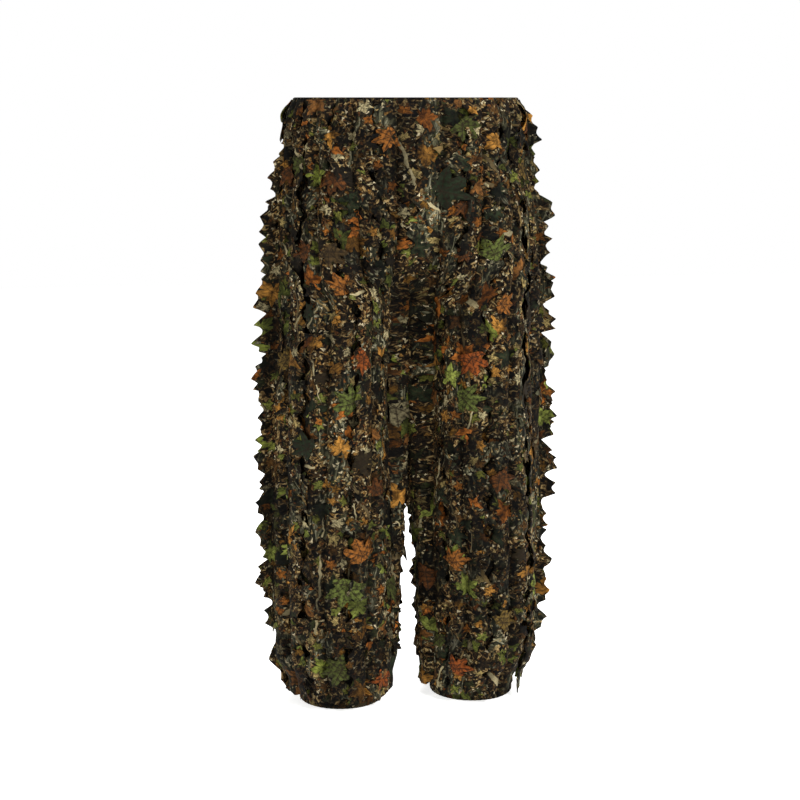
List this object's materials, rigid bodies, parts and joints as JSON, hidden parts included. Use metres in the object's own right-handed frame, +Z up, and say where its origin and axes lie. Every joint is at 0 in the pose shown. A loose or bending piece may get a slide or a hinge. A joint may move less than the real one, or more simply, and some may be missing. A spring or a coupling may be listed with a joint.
{
  "type": "leaf camouflage trousers",
  "caption": "Loose over-trousers covered in overlapping leaf-cut camouflage strips, with an elastic waist, a fly zip and elastic ankle cuffs.",
  "frame": {"origin": "centre of the waist opening, level with the top rim of the waistband", "axes": "+Z up along the body, front faces -Y, the wearer's left leg is at +X"},
  "size_m": [0.5104, 0.2895, 1.02],
  "materials": {
    "base_cloth": "matt printed polyester, dark leaf-litter camouflage",
    "leaf_cloth": "matt printed polyester cut into leaf shapes, leaf-litter camouflage",
    "elastic": "ribbed woven elastic",
    "zip_tape": "woven tape",
    "zip_coil": "nylon coil",
    "zip_metal": "dark lacquered zinc, worn at its edges",
    "label": "blank woven satin label"
  },
  "bodies": {
    "trousers": {"front_left_panel": "base_cloth", "leaf_strip_front_left_1": "leaf_cloth", "leaf_strip_front_left_2": "leaf_cloth", "leaf_strip_front_left_3": "leaf_cloth", "leaf_strip_front_left_4": "leaf_cloth", "front_right_panel": "base_cloth", "leaf_strip_front_right_1": "leaf_cloth", "leaf_strip_front_right_2": "leaf_cloth", "leaf_strip_front_right_3": "leaf_cloth", "leaf_strip_front_right_4": "leaf_cloth", "back_left_panel": "base_cloth", "leaf_strip_back_left_1": "leaf_cloth", "leaf_strip_back_left_2": "leaf_cloth", "leaf_strip_back_left_3": "leaf_cloth", "leaf_strip_back_left_4": "leaf_cloth", "back_right_panel": "base_cloth", "leaf_strip_back_right_1": "leaf_cloth", "leaf_strip_back_right_2": "leaf_cloth", "leaf_strip_back_right_3": "leaf_cloth", "leaf_strip_back_right_4": "leaf_cloth", "waistband_casing": "base_cloth", "waist_elastic": "elastic", "cuff_casing_left": "base_cloth", "cuff_elastic_left": "elastic", "zip_tape_left": "zip_tape", "zip_coil_left": "zip_coil", "zip_top_stop_left": "zip_metal", "cuff_casing_right": "base_cloth", "cuff_elastic_right": "elastic", "zip_tape_right": "zip_tape", "zip_coil_right": "zip_coil", "zip_top_stop_right": "zip_metal", "zip_bottom_stop": "zip_metal", "fly_shield": "base_cloth", "care_label": "label"},
    "zip_slider_body": {"zip_slider": "zip_metal"},
    "zip_pull_body": {"zip_pull": "zip_metal"}
  },
  "joints": [
    {"name": "zip_slide", "type": "slide", "parent": "trousers", "child": "zip_slider_body", "axis": [0, 0, -1], "range_m": [0, 0.1275]},
    {"name": "zip_pull_hinge", "type": "hinge", "parent": "zip_slider_body", "child": "zip_pull_body", "pos_m": [0, -0.10858, -0.0495], "axis": [-1, 0, 0], "range_deg": [0, 170]}
  ]
}
